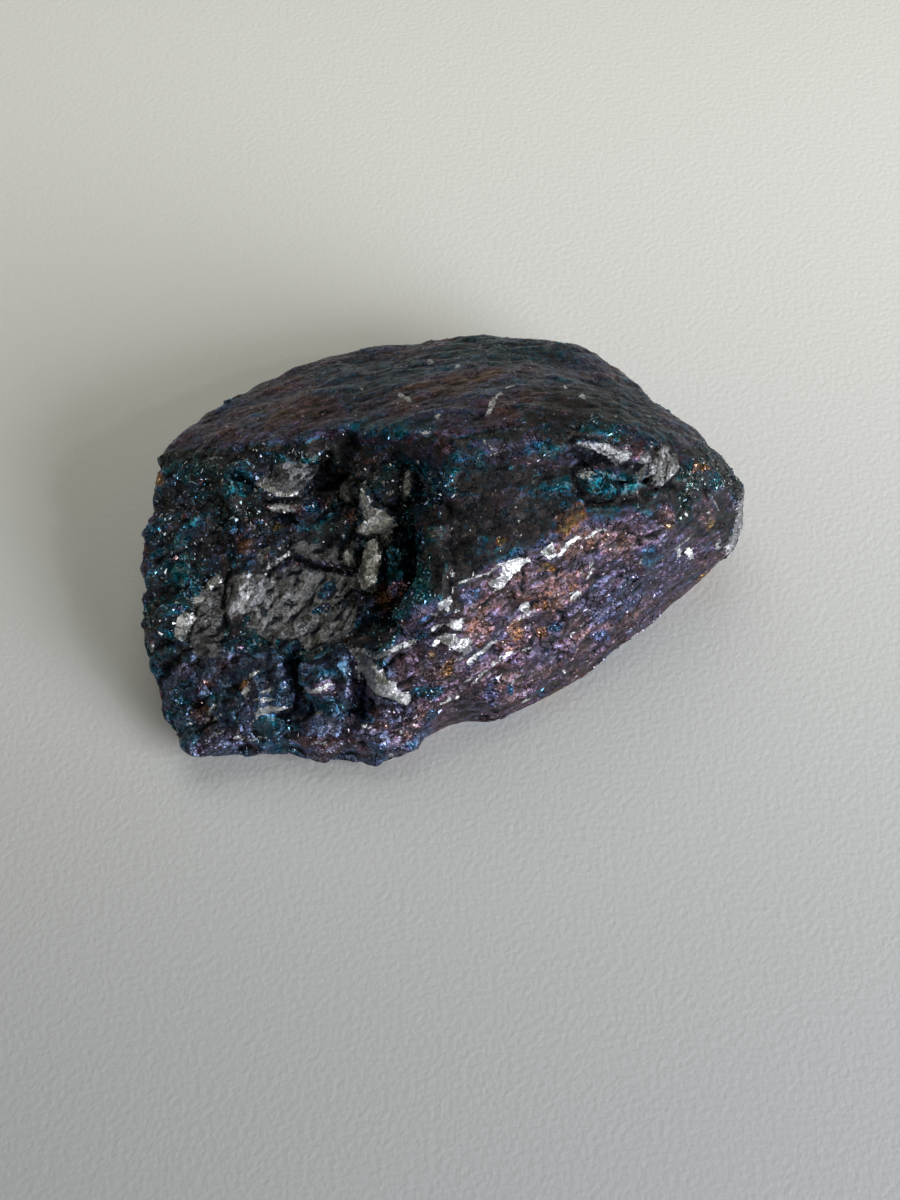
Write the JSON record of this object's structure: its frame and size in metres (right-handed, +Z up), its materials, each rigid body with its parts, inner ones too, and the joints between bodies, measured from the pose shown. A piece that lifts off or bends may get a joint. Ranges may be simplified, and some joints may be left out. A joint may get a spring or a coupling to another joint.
{
  "type": "chalcopyrite specimen",
  "caption": "Hand-sized lump of tarnished, iridescent metallic ore with a smooth back slope, a steep bright front, a fractured hollow and a flat underside to rest on.",
  "frame": {"origin": "middle of the bounding box, on the flat underside", "axes": "+Z up from the underside; +X along the lump towards its pointed end; -Y towards its steep bright front"},
  "size_m": [0.0814, 0.0644, 0.033],
  "materials": {
    "tarnished_ore": "granular metallic ore with blue, teal, purple, copper and bronze tarnish, and silvery patches where it is freshly broken"
  },
  "bodies": {
    "root": {"chalcopyrite_lump": "tarnished_ore"}
  },
  "joints": []
}
